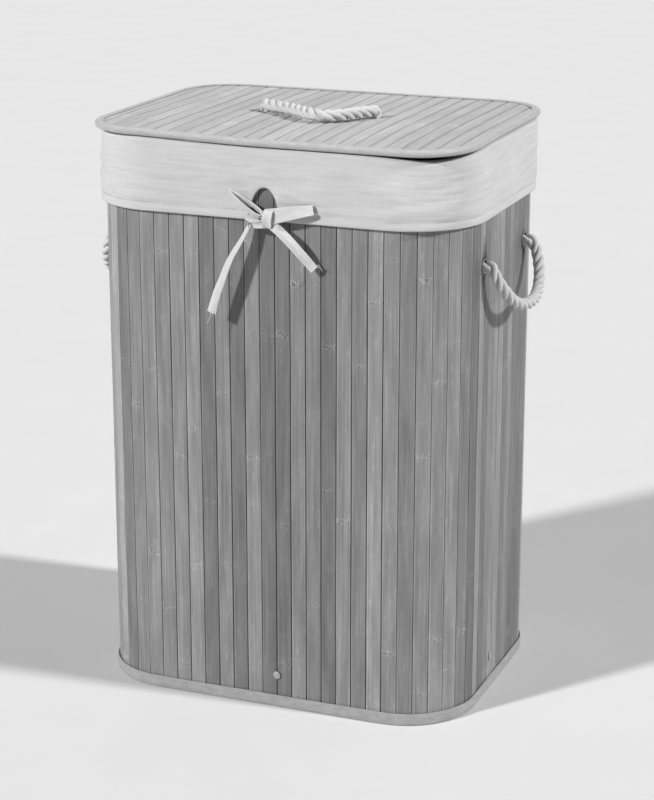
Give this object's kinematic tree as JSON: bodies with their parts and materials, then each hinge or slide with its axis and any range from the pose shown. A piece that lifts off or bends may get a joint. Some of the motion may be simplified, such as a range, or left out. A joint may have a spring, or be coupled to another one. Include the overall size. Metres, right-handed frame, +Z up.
{
  "type": "laundry hamper with lid",
  "caption": "Tall slatted laundry hamper with rounded corners, hinged lid, rope handles and a cotton liner folded out over the rim and tied with a bow.",
  "frame": {"origin": "on the floor, under the middle of the hamper", "axes": "+Z up, -Y the front where the bow hangs, +X to the right seen from the front"},
  "size_m": [0.4714, 0.3258, 0.6096],
  "materials": {
    "bamboo": "satin varnished bamboo strip with fine grain",
    "lid_bamboo": "satin varnished bamboo strip, paler than the wall",
    "cotton": "plain woven cotton, slightly slubby",
    "tape": "soft cotton tape",
    "binding": "woven polyester binding, stitched",
    "backing": "coarse woven backing cloth",
    "board": "raw fibreboard",
    "rope": "three-strand twisted cotton rope",
    "eyelet": "dark satin paint",
    "rivet": "dull antique metal"
  },
  "bodies": {
    "basket": {"base_board": "board", "base_edge_binding": "binding", "base_rivet_back": "rivet", "base_rivet_front": "rivet", "base_rivet_left": "rivet", "base_rivet_right": "rivet", "base_tab_back": "binding", "base_tab_front": "binding", "base_tab_left": "binding", "base_tab_right": "binding", "bottom_binding": "binding", "drawstring_band": "tape", "drawstring_knot": "tape", "drawstring_loop_left": "tape", "drawstring_loop_right": "tape", "drawstring_tail_left": "tape", "drawstring_tail_right": "tape", "left_back_eyelet": "eyelet", "left_back_rope_knot": "rope", "left_front_eyelet": "eyelet", "left_front_rope_knot": "rope", "lid_strap_lower_left": "binding", "lid_strap_lower_right": "binding", "liner_bag": "cotton", "liner_cuff": "cotton", "right_back_eyelet": "eyelet", "right_back_rope_knot": "rope", "right_front_eyelet": "eyelet", "right_front_rope_knot": "rope", "top_binding": "binding", "wall_backing_cloth": "backing", "wall_seam_tape": "binding", "wall_slats_back": "bamboo", "wall_slats_back_left_corner": "bamboo", "wall_slats_back_right_corner": "bamboo", "wall_slats_front": "bamboo", "wall_slats_front_left_corner": "bamboo", "wall_slats_front_right_corner": "bamboo", "wall_slats_left": "bamboo", "wall_slats_right": "bamboo"},
    "lid": {"lid_binding": "binding", "lid_board": "board", "lid_left_rope_knot": "rope", "lid_lining": "backing", "lid_right_rope_knot": "rope", "lid_slats": "lid_bamboo", "lid_strap_upper_left": "binding", "lid_strap_upper_right": "binding"},
    "lid_handle": {"lid_handle_rope": "rope"},
    "right_handle": {"right_handle_rope": "rope"},
    "left_handle": {"left_handle_rope": "rope"}
  },
  "joints": [
    {"name": "lid_hinge", "type": "hinge", "parent": "basket", "child": "lid", "pos_m": [0, 0.1565, 0.591], "axis": [-1, 0, 0], "range_deg": [0, 205]},
    {"name": "lid_handle_swing", "type": "hinge", "parent": "lid", "child": "lid_handle", "pos_m": [-0.00075, 0, 0.6034], "axis": [-1, 0, 0], "range_deg": [0, 178]},
    {"name": "right_handle_swing", "type": "hinge", "parent": "basket", "child": "right_handle", "pos_m": [0.2085, 0, 0.4676], "axis": [0, -1, 0], "range_deg": [0, 130]},
    {"name": "left_handle_swing", "type": "hinge", "parent": "basket", "child": "left_handle", "pos_m": [-0.2085, 0, 0.4676], "axis": [0, 1, 0], "range_deg": [0, 130]}
  ]
}
